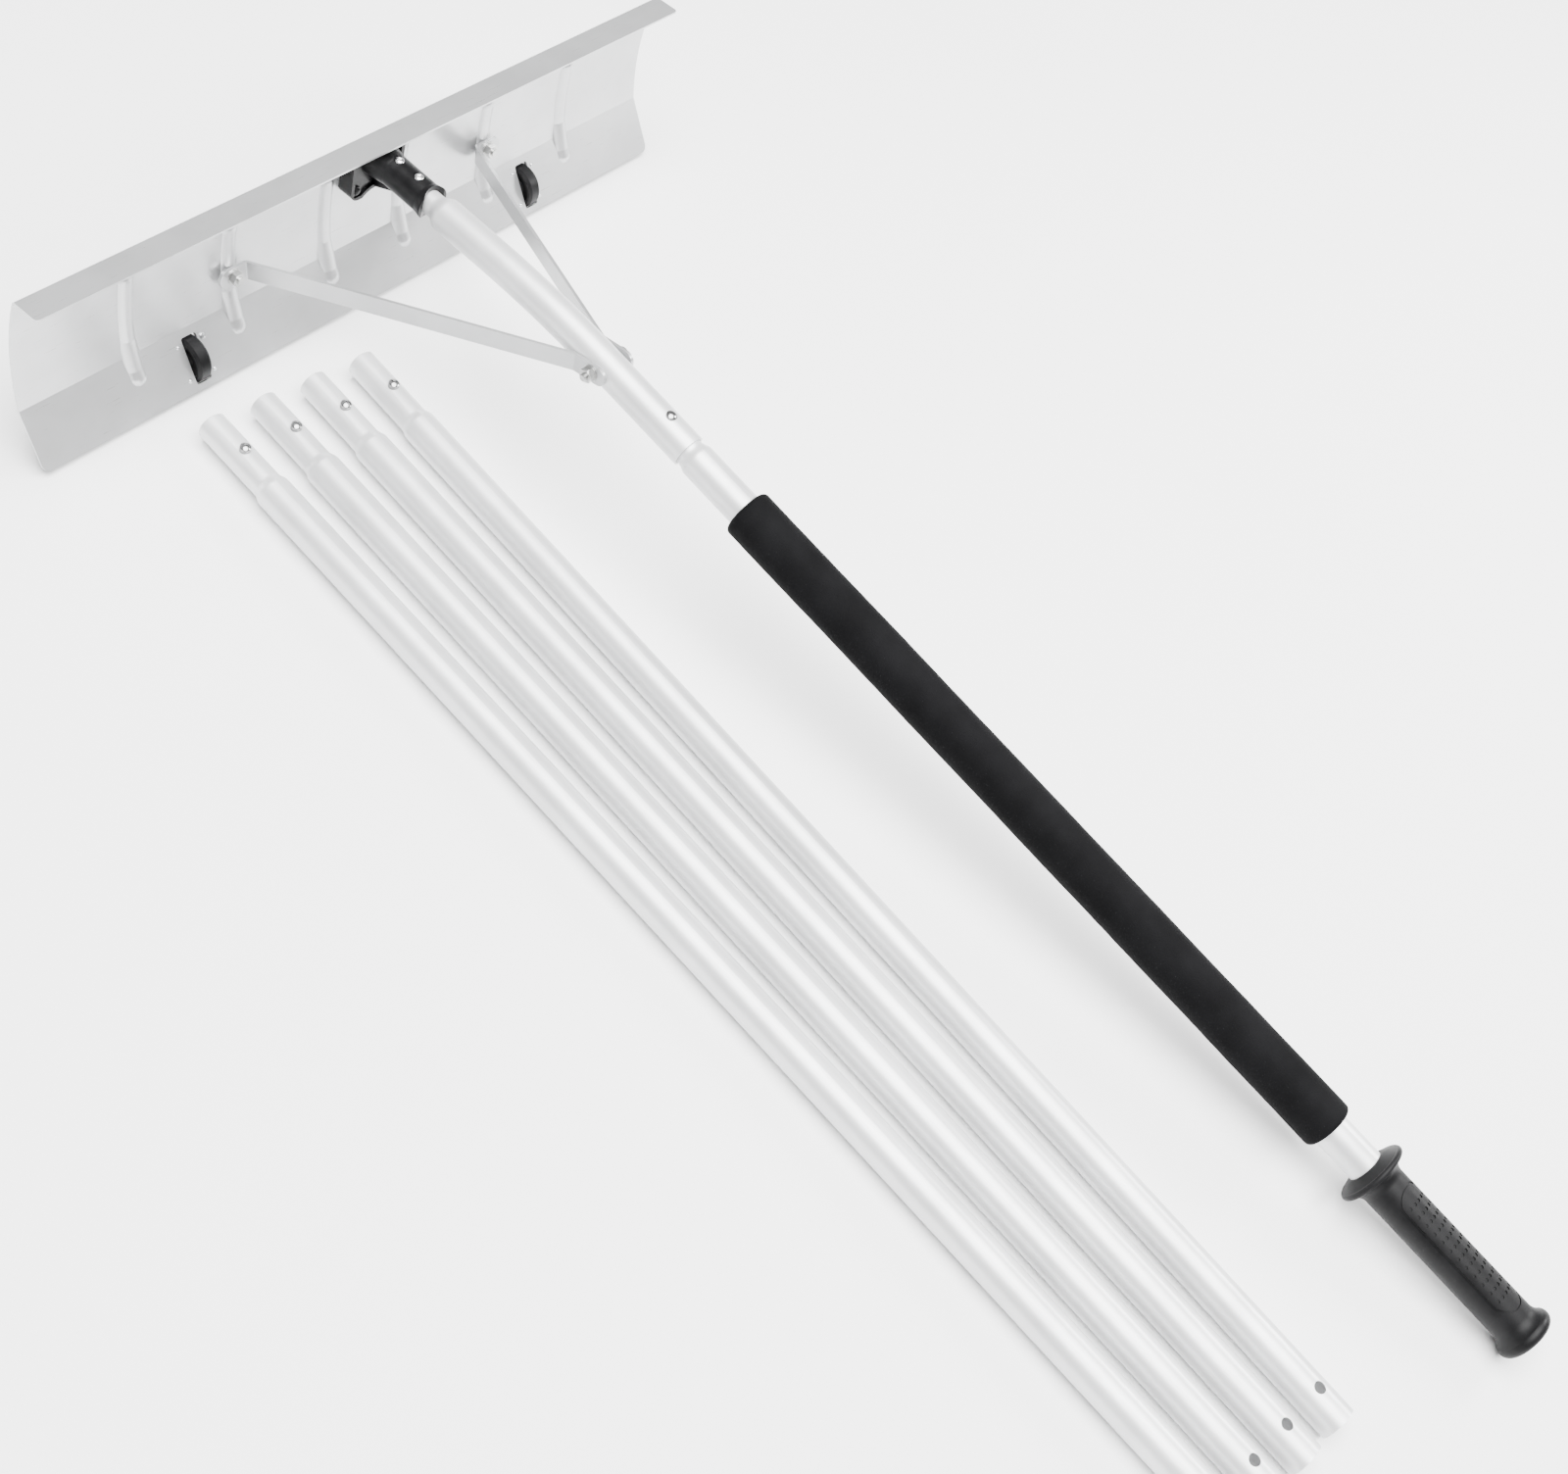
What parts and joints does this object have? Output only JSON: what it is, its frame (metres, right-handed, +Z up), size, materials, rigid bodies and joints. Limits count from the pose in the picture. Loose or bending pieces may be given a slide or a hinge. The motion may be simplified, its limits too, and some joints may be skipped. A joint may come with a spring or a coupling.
{
  "type": "roof snow rake",
  "caption": "Long-handled roof snow rake: bent sheet blade with stiffening beads on wheels, braced bent tube, foam-padded handle with hand grip, and loose snap-together extension tubes.",
  "frame": {"origin": "on the floor, in the middle of the whole set's footprint", "axes": "+X along the blade, -Y from the blade towards the hand grip, +Z up from the floor that the wheels, the grip's end and the loose tubes rest on"},
  "size_m": [0.635, 1.1783, 0.1471],
  "materials": {
    "blade": "satin rolled sheet",
    "tube_aluminium": "matt anodised",
    "brace_aluminium": "mill finish flat bar",
    "rivet_aluminium": "bright",
    "black_plastic": "moulded, semi-gloss black",
    "steel": "zinc plated",
    "bright_steel": "polished stainless",
    "spring_steel": "spring strip",
    "wheel_plastic": "black",
    "foam": "closed-cell foam, matt black",
    "grip_rubber": "moulded, satin black"
  },
  "bodies": {
    "head": {"blade": "blade", "socket_bracket": "black_plastic", "socket_screws": "bright_steel", "bracket_rivets": "rivet_aluminium", "head_tube": "tube_aluminium", "brace_left": "brace_aluminium", "brace_right": "brace_aluminium", "brace_pole_bolt": "steel", "brace_pole_nut": "steel", "brace_pole_washers": "steel", "brace_blade_bolts": "steel", "brace_blade_nuts": "steel", "brace_blade_washers": "steel", "wheel_bracket_left": "steel", "wheel_bracket_right": "steel", "wheel_bracket_rivets": "rivet_aluminium", "wheel_axle_left": "steel", "wheel_axle_right": "steel"},
    "wheel_left": {"wheel_left": "wheel_plastic"},
    "wheel_right": {"wheel_right": "wheel_plastic"},
    "handle": {"pole_tube": "tube_aluminium", "pole_button_spring": "spring_steel", "foam_sleeve": "foam", "hand_grip": "grip_rubber"},
    "handle_button": {"pole_button": "bright_steel"},
    "extension_1": {"extension_tube_1": "tube_aluminium", "extension_button_spring_1": "spring_steel"},
    "extension_button_1": {"extension_button_1": "bright_steel"},
    "extension_2": {"extension_tube_2": "tube_aluminium", "extension_button_spring_2": "spring_steel"},
    "extension_button_2": {"extension_button_2": "bright_steel"},
    "extension_3": {"extension_tube_3": "tube_aluminium", "extension_button_spring_3": "spring_steel"},
    "extension_button_3": {"extension_button_3": "bright_steel"},
    "extension_4": {"extension_tube_4": "tube_aluminium", "extension_button_spring_4": "spring_steel"},
    "extension_button_4": {"extension_button_4": "bright_steel"}
  },
  "joints": [
    {"name": "wheel_left_spin", "type": "hinge", "parent": "head", "child": "wheel_left", "pos_m": [-0.174, 0.56798, 0.0185], "axis": [1, 0, 0], "continuous": true},
    {"name": "wheel_right_spin", "type": "hinge", "parent": "head", "child": "wheel_right", "pos_m": [0.174, 0.56798, 0.0185], "axis": [1, 0, 0], "continuous": true},
    {"name": "handle_pull", "type": "slide", "parent": "head", "child": "handle", "axis": [0, -0.9937, -0.112], "range_m": [0, 0.3]},
    {"name": "handle_button_press", "type": "slide", "parent": "handle", "child": "handle_button", "axis": [0, 0.112, -0.9937], "range_m": [0, 0.0055], "stiffness_N_per_m": 1500, "deforming": ["pole_button_spring"]},
    {"name": "extension_1_lift_away", "type": "slide", "parent": "head", "child": "extension_1", "axis": [-0.0576, -0.9983, 0], "range_m": [0, 0.3]},
    {"name": "extension_button_1_press", "type": "slide", "parent": "extension_1", "child": "extension_button_1", "axis": [0, 0, -1], "range_m": [0, 0.0055], "stiffness_N_per_m": 1500, "deforming": ["extension_button_spring_1"]},
    {"name": "extension_2_lift_away", "type": "slide", "parent": "head", "child": "extension_2", "axis": [-0.0663, -0.9978, 0], "range_m": [0, 0.3]},
    {"name": "extension_button_2_press", "type": "slide", "parent": "extension_2", "child": "extension_button_2", "axis": [0, 0, -1], "range_m": [0, 0.0055], "stiffness_N_per_m": 1500, "deforming": ["extension_button_spring_2"]},
    {"name": "extension_3_lift_away", "type": "slide", "parent": "head", "child": "extension_3", "axis": [-0.075, -0.9972, 0], "range_m": [0, 0.3]},
    {"name": "extension_button_3_press", "type": "slide", "parent": "extension_3", "child": "extension_button_3", "axis": [0, 0, -1], "range_m": [0, 0.0055], "stiffness_N_per_m": 1500, "deforming": ["extension_button_spring_3"]},
    {"name": "extension_4_lift_away", "type": "slide", "parent": "head", "child": "extension_4", "axis": [-0.0819, -0.9966, 0], "range_m": [0, 0.3]},
    {"name": "extension_button_4_press", "type": "slide", "parent": "extension_4", "child": "extension_button_4", "axis": [0, 0, -1], "range_m": [0, 0.0055], "stiffness_N_per_m": 1500, "deforming": ["extension_button_spring_4"]}
  ]
}
